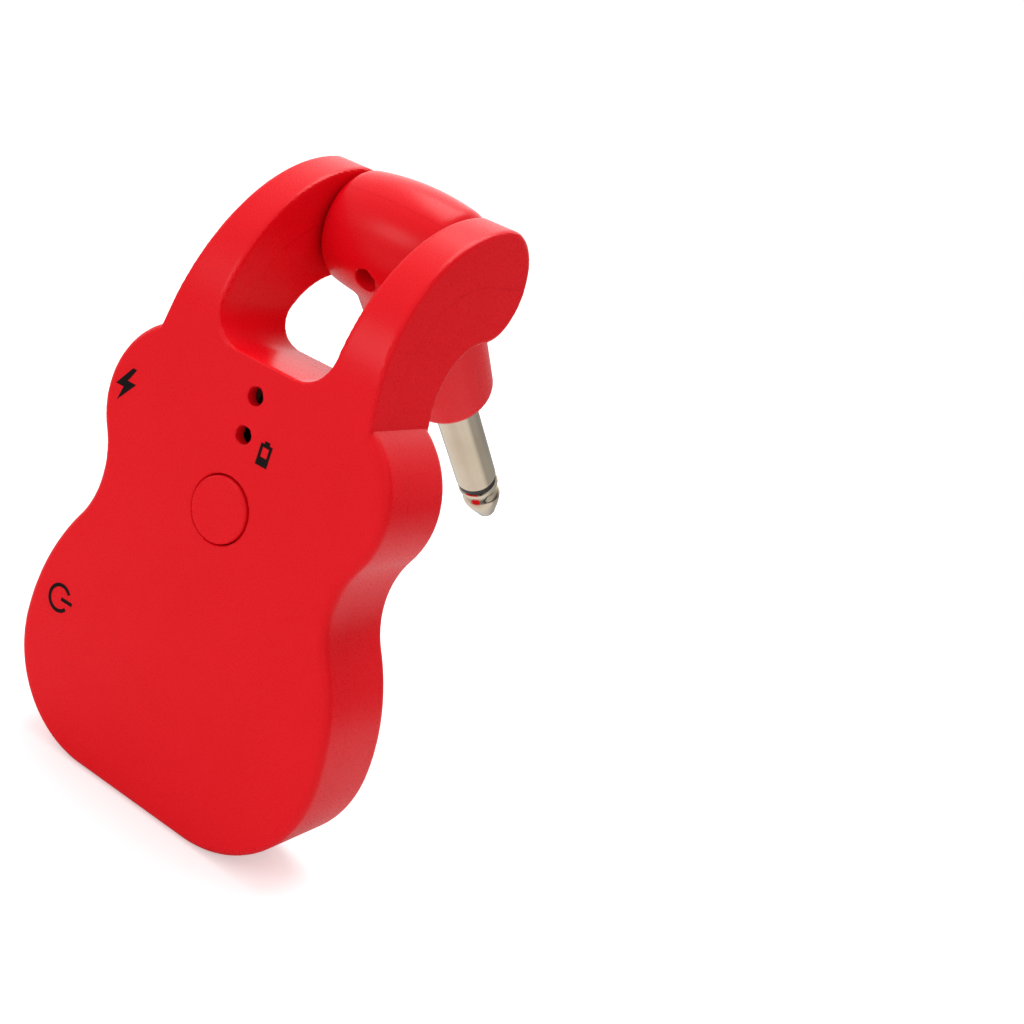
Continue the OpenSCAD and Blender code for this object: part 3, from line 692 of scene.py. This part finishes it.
INK = grained("symbol_ink", (0.008, 0.005, 0.005), (0.014, 0.009, 0.009), (0.45, 0.6), level=0.08)[0]
GOLD = brushed("contact_gold", (0.78, 0.55, 0.2), (0.85, 0.62, 0.26), (0.2, 0.32))


def dress(piece, slot, body, *nodes, material=None):
    """Gives a piece its material and body, and hides the CAD nodes it stands for."""
    piece.data.materials.clear()
    piece.data.materials.append(material or MATERIALS[slot])
    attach(piece, body)
    if nodes:
        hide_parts(*nodes)


# ---------- pieces ----------


def make_shells():
    for node, distance in (("front_shell", front_shell), ("rear_shell", rear_shell)):
        piece = solid(f"{node}_skin", distance, low(node), high(node), SHELL_CELL)
        dress(piece, "red_plastic", "housing", node)


def make_barrel():
    lowest = (-TRUNNION_END, -BARREL_R, -COLLAR_LEN)
    highest = (TRUNNION_END, BARREL_R, BARREL_R)
    for node, distance in (("barrel_front", barrel_front), ("barrel_rear", barrel_rear)):
        piece = solid(f"{node}_skin", distance, lowest, highest, BARREL_CELL, SWIVEL)
        dress(piece, "red_plastic", "swivel", node)


# Front of the plug as (radius, distance), listed from its end back. NOSE is measured back from the end,
# BALL with its groove forward from the back of the tip.
NOSE = [(0, 0), (0.26, 0.015), (0.5, 0.06), (0.82, 0.15), (1.1, 0.3), (1.33, 0.53), (1.5, 0.8)]
BALL = [
    (1.8, 7.9), (2.03, 7.3), (2.25, 6.7), (2.52, 5.95), (2.75, 5.2), (2.89, 4.65), (2.98, 4.2),
    (3.0, 3.8), (2.96, 3.5), (2.88, 3.27), (2.75, 3.1), (2.46, 2.82), (2.25, 2.58), (2.14, 2.38),
    (2.1, 2.2), (2.14, 2.02), (2.26, 1.84), (2.6, 1.5), (2.93, 1.18), (PLUG_R - 0.07, 0.99),
    (PLUG_R, 0.85),
]


def make_plug():
    """Sleeve, insulator and tip of the jack plug, turned about its axis."""
    edge = 0.15
    core_hole = CORE_R - CORE_PLAY
    rod_hole = ROD_R + CORE_PLAY
    sleeve = [
        (CORE_R, -RING_A), (PLUG_R - edge, -RING_A), (PLUG_R, -RING_A + edge), (PLUG_R, -COLLAR_LEN),
        (NECK_R, -COLLAR_LEN), (NECK_R, -FLANGE_A[1]), (FLANGE_R, -FLANGE_A[1]),
        (FLANGE_R, -FLANGE_A[0]), (CORE_R, -FLANGE_A[0]), (CORE_R, -RING_A),
    ]
    insulator = [
        (rod_hole, -TIP_A), (INSULATOR_R, -TIP_A), (INSULATOR_R, -RING_A), (core_hole, -RING_A),
        (core_hole, -FLANGE_A[0]), (rod_hole, -FLANGE_A[0]), (rod_hole, -TIP_A),
    ]
    tip = [(radius, -PLUG_END + up) for radius, up in NOSE]
    tip += [(radius, -TIP_A - down) for radius, down in BALL]
    tip += [(PLUG_R, -TIP_A - edge), (PLUG_R - edge, -TIP_A)]
    tip += [(ROD_R, -TIP_A), (ROD_R, -ROD_A), (0, -ROD_A)]
    dress(turned("plug_sleeve_skin", sleeve, SWIVEL), "plug_nickel", "swivel", "plug_sleeve")
    dress(turned("plug_insulator_skin", insulator, SWIVEL), "black_plastic", "swivel", "plug_insulator")
    dress(turned("plug_tip_skin", tip, SWIVEL), "plug_nickel", "swivel", "plug_tip")


def make_button():
    """Disc with a softly dished front and a rounded rim, on its flange and stem."""
    rim, dish = 0.35, 0.12
    rim_steps = 8
    front = low("pair_button").y - FRONT_Y
    back = high("pair_button").y - FRONT_Y
    face = [(0, front + dish)]
    face += [(r * BUTTON_R, front + dish * (1 - r**2)) for r in (0.2, 0.4, 0.6, 0.75)]
    face += arc(np.array([BUTTON_R - rim, front + rim]), rim, -90, 0, rim_steps)
    stem_r = 1.2
    flange_r = BUTTON_R + BUTTON_FLANGE
    flange = (WALL + 0.1, WALL + 0.9)
    stem = [(BUTTON_R, flange[0]), (flange_r, flange[0]), (flange_r, flange[1])]
    stem += [(stem_r, flange[1]), (stem_r, back), (0, back)]
    place = moved(0, FRONT_Y, BUTTON_Z) @ Matrix.Rotation(-math.pi / 2, 4, "X")
    piece = turned("pair_button_skin", face + stem, place)
    dress(piece, "red_plastic", "button", "pair_button")


def knob(p):
    """Ribbed slider: its face follows the flank of the housing, on a wider flange inside the wall."""
    x, y, z = p.T
    lowest, highest = low("power_knob"), high("power_knob")
    play, grip_len, grip_back, grip_round = 0.3, 10, -20.7, 0.25
    rib_step, rib_depth, rib_start, sunk = 1.7, 0.5, 0.75, 0.55
    flange_x, flange_half = -20.5, 0.4
    flank = np.hypot(x + FLANK_C[0], z - FLANK_C[1]) - FLANK_R
    bottom = WINDOW_Z[0] + play
    wave = 0.5 + 0.9 * np.cos(math.tau * (z - bottom - rib_start) / rib_step)
    ribs = flank + sunk - rib_depth * np.clip(wave, 0, 1)
    grip = np.maximum(WINDOW_Y[0] + play - y, y - WINDOW_Y[1] + play)
    grip = np.maximum(grip, np.maximum(bottom - z, z - bottom - grip_len))
    grip = both(np.maximum(grip, x - grip_back), ribs, grip_round)
    flange = np.maximum(np.abs(x - flange_x) - flange_half, np.maximum(lowest.y - y, y - highest.y))
    flange = np.maximum(flange, np.maximum(lowest.z - z, z - highest.z))
    return np.minimum(grip, flange)


def make_knob():
    piece = solid("power_knob_skin", knob, low("power_knob"), high("power_knob"), KNOB_CELL)
    dress(piece, "red_plastic", "slider", "power_knob")


def screw(p):
    """Pan-head screw with a cross recess: the head above z 0, the shank below."""
    x, y, z = p.T
    head_round = 0.3
    shank_r, shank_top, thread, pitch = 0.72, 0.2, 0.08, 0.6
    arm_len, arm_half, arm_slope, recess_z = 0.85, 0.2, 0.25, 0.35
    reach = np.hypot(x, y)
    head = both(reach - HEAD_R, np.abs(z - HEAD_LEN / 2) - HEAD_LEN / 2, head_round)
    shank = reach - shank_r - thread * np.cos(math.tau * z / pitch)
    shank = np.maximum(shank, np.maximum(z - shank_top, -SHANK_LEN - z))
    arm_x = np.maximum(np.abs(x) - arm_len, np.abs(y) - arm_half)
    arm_y = np.maximum(np.abs(y) - arm_len, np.abs(x) - arm_half)
    arms = np.minimum(arm_x, arm_y)
    recess = np.maximum(arms + arm_slope * (HEAD_LEN - z), recess_z - z)
    return np.maximum(np.minimum(head, shank), -recess)


def make_screws():
    lowest = (-HEAD_R, -HEAD_R, -SHANK_LEN)
    vertices, quads = contour(screw, lowest, (HEAD_R, HEAD_R, HEAD_LEN), SCREW_CELL)
    for number, (x, z) in enumerate(SCREW_XZ, 1):
        piece = add_mesh(f"case_screw_{number}", vertices, quads)
        piece.data.transform(moved(x, BACK_Y - HEAD_SEAT, z) @ Matrix.Rotation(-math.pi / 2, 4, "X"))
        dress(piece, "screw_steel", "housing", "case_screws")
    piece = add_mesh("barrel_screw_skin", vertices, quads)
    place = SWIVEL @ moved(0, -SCREW_SEAT, SCREW_A) @ Matrix.Rotation(math.pi / 2, 4, "X")
    piece.data.transform(place)
    dress(piece, "screw_steel", "swivel", "barrel_screw")


def make_contacts():
    """Gold contacts on both sides of the charging socket's tongue."""
    lowest, highest = low("usb_tongue"), high("usb_tongue")
    count, pitch, width, thick = 12, 0.5, 0.26, 0.04
    along = (lowest.x + 0.4, highest.x - 1)
    sides = ((0, 1, 3, 2), (4, 6, 7, 5), (0, 4, 5, 1), (2, 3, 7, 6), (0, 2, 6, 4), (1, 5, 7, 3))
    vertices, faces = [], []
    for y in (lowest.y, highest.y):
        for k in range(count):
            z = USB_Z + (k - (count - 1) / 2) * pitch
            box = [along, (y - thick, y + thick), (z - width / 2, z + width / 2)]
            first = len(vertices)
            vertices += [(a, b, c) for a in box[0] for b in box[1] for c in box[2]]
            faces += [[first + v for v in side] for side in sides]
    dress(add_mesh("usb_contacts", vertices, faces), "shield_metal", "housing", material=GOLD)


# ---------- printed symbols ----------

INK_THICK = 0.02
BOLT_PLACE = (-19.3, 50.0)
BATTERY_PLACE = (2.9, 49.2)
POWER_PLACE = (-20.0, 19.5)
BOLT = [
    (0.42, 2.35), (-1.6, -0.4), (-0.25, -0.4), (-0.75, -2.35), (1.6, 0.55), (0.15, 0.55), (1.1, 2.35),
]


def print_shape(name, outlines):
    """A thin layer of ink on the front face, from closed outlines of (x, z) points."""
    vertices, faces = [], []
    for points in outlines:
        first, count = len(vertices), len(points)
        vertices += [(x, FRONT_Y - INK_THICK, z) for x, z in points]
        vertices += [(x, FRONT_Y + INK_THICK, z) for x, z in points]
        faces.append([first + k for k in range(count)])
        faces.append([first + count + k for k in reversed(range(count))])
        for k in range(count):
            following = (k + 1) % count
            behind = [first + count + k, first + count + following]
            faces.append([first + following, first + k, *behind])
    dress(add_mesh(name, vertices, faces), "black_plastic", "housing", material=INK)


def bar(x0, z0, x1, z1):
    """Outline of an upright rectangle."""
    return [(x0, z0), (x1, z0), (x1, z1), (x0, z1)]


def make_symbols():
    """Lightning bolt, battery and on/off mark."""
    print_shape("charge_symbol", [[(x + BOLT_PLACE[0], z + BOLT_PLACE[1]) for x, z in BOLT]])
    x0, z0 = BATTERY_PLACE
    width, height, line = 1.8, 2.75, 0.42
    charge, cap_inset, cap_height = 1.1, 0.5, 0.38
    x1, z1 = x0 + width, z0 + height
    battery = [
        bar(x0, z0, x1, z0 + line),
        bar(x0, z1 - line, x1, z1),
        bar(x0, z0 + line, x0 + line, z1 - line),
        bar(x1 - line, z0 + line, x1, z1 - line),
        bar(x0 + cap_inset, z1, x1 - cap_inset, z1 + cap_height),
        bar(x0 + line, z0 + line, x1 - line, z0 + charge),
    ]
    print_shape("battery_symbol", battery)
    outer, inner, stroke_half, steps = 2.0, 1.5, 0.25, 32
    ring_start, ring_sweep = 36, 288
    stroke = (0.3, 2.3)
    centre = np.array(POWER_PLACE)
    ways = [direction(ring_start + ring_sweep * k / steps) for k in range(steps + 1)]
    ring = [tuple(centre + outer * way) for way in ways]
    ring += [tuple(centre + inner * way) for way in reversed(ways)]
    stem = bar(
        centre[0] + stroke[0], centre[1] - stroke_half, centre[0] + stroke[1], centre[1] + stroke_half
    )
    print_shape("power_symbol", [ring, stem])


def dress_inner_nodes():
    """Everything inside the shells keeps its CAD shape, with the finish its slot asks for."""
    slots = {part["node"]: part["material_slot"] for part in frame["record"]["subparts"]}
    for name, node in frame["nodes"].items():
        node.data.materials.clear()
        node.data.materials.append(MATERIALS[slots[name]])


# ---------- stage, in metres ----------

FLOOR_HALF = 3.0
FLOOR_DROP = 0.0002

# How much darker than white the floor mirrors in the object: under it, in front of it, behind it and to
# the right. Each range is where the change starts and ends.
DARK_UNDER = 0.3
DARK_FRONT, FRONT_RANGE = 0.85, (-0.05, 0.03)
DARK_BACK, BACK_RANGE = 0.65, (0.09, 0.13)
DARK_RIGHT, RIGHT_RANGE = 0.96, (0.1, 0.2)
FLOOR_LIFT = 0.42

LIGHT_AIM = (0, 0, 0.04)
TOP_LIGHT = {"place": (-0.05, 0.15, 0.6), "size": (0.42, 0.36), "power": 1.9}
FRONT_LIGHT = {"place": (-0.27, -0.57, 0.28), "size": (0.22, 0.22), "power": 0.52}

# Camera fitted to the photo
CAMERA_PLACE = (0.1014, -0.14475, 0.1014)
CAMERA_RIGHT = (0.808, 0.482, 0.339)
CAMERA_FORWARD = (-0.407, 0.873, -0.269)
LENS_MM = 51.65
SENSOR_MM = 36


def make_stage():
    """White paper floor: lit up for the camera, and darker where the object mirrors it."""
    half = FLOOR_HALF
    mesh = bpy.data.meshes.new("floor")
    corners = [(-half, -half, 0), (half, -half, 0), (half, half, 0), (-half, half, 0)]
    mesh.from_pydata(corners, [], [(0, 1, 2, 3)])
    floor = bpy.data.objects.new("floor", mesh)
    bpy.context.scene.collection.objects.link(floor)
    floor.location.z = -FLOOR_DROP
    material, tree, shader = new_material("floor_paper")
    grain = noise(tree, place_coordinates(tree, (60,) * 3), detail=5)
    path = tree.nodes.new("ShaderNodeLightPath")
    across = tree.nodes.new("ShaderNodeSeparateXYZ")
    tree.links.new(place_coordinates(tree, (1, 1, 1)), across.inputs["Vector"])
    before = spread(tree, across.outputs["Y"], DARK_FRONT, DARK_UNDER, *FRONT_RANGE)
    behind = spread(tree, across.outputs["Y"], DARK_UNDER, DARK_BACK, *BACK_RANGE)
    beside = spread(tree, across.outputs["X"], DARK_UNDER, DARK_RIGHT, *RIGHT_RANGE)
    dark = calculate(tree, "MAXIMUM", calculate(tree, "MAXIMUM", before, behind), beside)
    mirrored = calculate(tree, "MULTIPLY", path.outputs["Is Glossy Ray"], dark)
    kept = calculate(tree, "SUBTRACT", 1.0, mirrored)
    paper = tint(tree, grain, (0.88, 0.88, 0.88), (0.9, 0.9, 0.9))
    shaded = tree.nodes.new("ShaderNodeVectorMath")
    shaded.operation = "SCALE"
    tree.links.new(paper, shaded.inputs["Vector"])
    tree.links.new(kept, shaded.inputs["Scale"])
    tree.links.new(shaded.outputs["Vector"], shader.inputs["Base Color"])
    shader.inputs["Roughness"].default_value = 0.9
    shader.inputs["Specular IOR Level"].default_value = 0.1
    shader.inputs["Emission Color"].default_value = (1, 1, 1, 1)
    lift = calculate(tree, "MULTIPLY", path.outputs["Is Camera Ray"], FLOOR_LIFT)
    tree.links.new(lift, shader.inputs["Emission Strength"])
    mesh.materials.append(material)


def area_light(name, place, size, power):
    """A white rectangular lamp aimed at the object."""
    light = bpy.data.lights.new(name, "AREA")
    light.shape = "RECTANGLE"
    light.size, light.size_y = size
    light.energy = power
    light.color = (1, 1, 1)
    lamp = bpy.data.objects.new(name, light)
    bpy.context.scene.collection.objects.link(lamp)
    lamp.location = place
    lamp.rotation_euler = (Vector(LIGHT_AIM) - Vector(place)).to_track_quat("-Z", "Y").to_euler()


def facing(tree, towards, low_end, high_end, start, end):
    """How far a direction of the world looks a given way, as a brightness."""
    source = tree.nodes.new("ShaderNodeTexCoord")
    dot = tree.nodes.new("ShaderNodeVectorMath")
    dot.operation = "DOT_PRODUCT"
    dot.inputs[1].default_value = Vector(towards).normalized()
    tree.links.new(source.outputs["Generated"], dot.inputs[0])
    return spread(tree, dot.outputs["Value"], low_end, high_end, start, end)


def make_light():
    """A white room with a dim right side, and two soft lamps.

    Mirrored, the room's front is darker and its backdrop brighter. The camera sees it plain white.
    """
    world = bpy.data.worlds.new("studio")
    bpy.context.scene.world = world
    world.use_nodes = True
    tree = world.node_tree
    background = tree.nodes["Background"]
    background.inputs["Strength"].default_value = 1.0
    path = tree.nodes.new("ShaderNodeLightPath")
    to_right, to_front, to_back = (0.85, 0.5, 0.1), (0, -1, 0), (-0.35, 0.87, 0.3)
    room = facing(tree, to_right, 0.84, 0.32, 0.55, 0.97)
    right = facing(tree, to_right, 0.84, 0.1, 0.5, 0.95)
    front = facing(tree, to_front, 1.0, 0.25, 0.1, 0.8)
    backdrop = facing(tree, to_back, 1.0, 1.7, 0.6, 0.97)
    mirrored = calculate(tree, "MULTIPLY", calculate(tree, "MULTIPLY", right, front), backdrop)
    difference = calculate(tree, "SUBTRACT", mirrored, room)
    change = calculate(tree, "MULTIPLY", path.outputs["Is Glossy Ray"], difference)
    shade = calculate(tree, "ADD", room, change)
    seen = calculate(tree, "MAXIMUM", shade, path.outputs["Is Camera Ray"])
    tree.links.new(seen, background.inputs["Color"])
    area_light("top_softbox", **TOP_LIGHT)
    area_light("front_softbox", **FRONT_LIGHT)


def make_camera():
    camera = bpy.data.cameras.new("camera")
    camera.sensor_width = SENSOR_MM
    camera.lens = LENS_MM
    camera.clip_start = 0.01
    holder = bpy.data.objects.new("camera", camera)
    bpy.context.scene.collection.objects.link(holder)
    right = Vector(CAMERA_RIGHT).normalized()
    forward = Vector(CAMERA_FORWARD).normalized()
    up = right.cross(forward).normalized()
    turn = Matrix((right, up, -forward)).transposed().to_4x4()
    holder.matrix_world = Matrix.Translation(CAMERA_PLACE) @ turn
    bpy.context.scene.camera = holder


make_shells()
make_barrel()
make_plug()
make_button()
make_knob()
make_screws()
make_contacts()
make_symbols()
dress_inner_nodes()
make_stage()
make_light()
make_camera()
bpy.context.scene.view_settings.view_transform = "Standard"
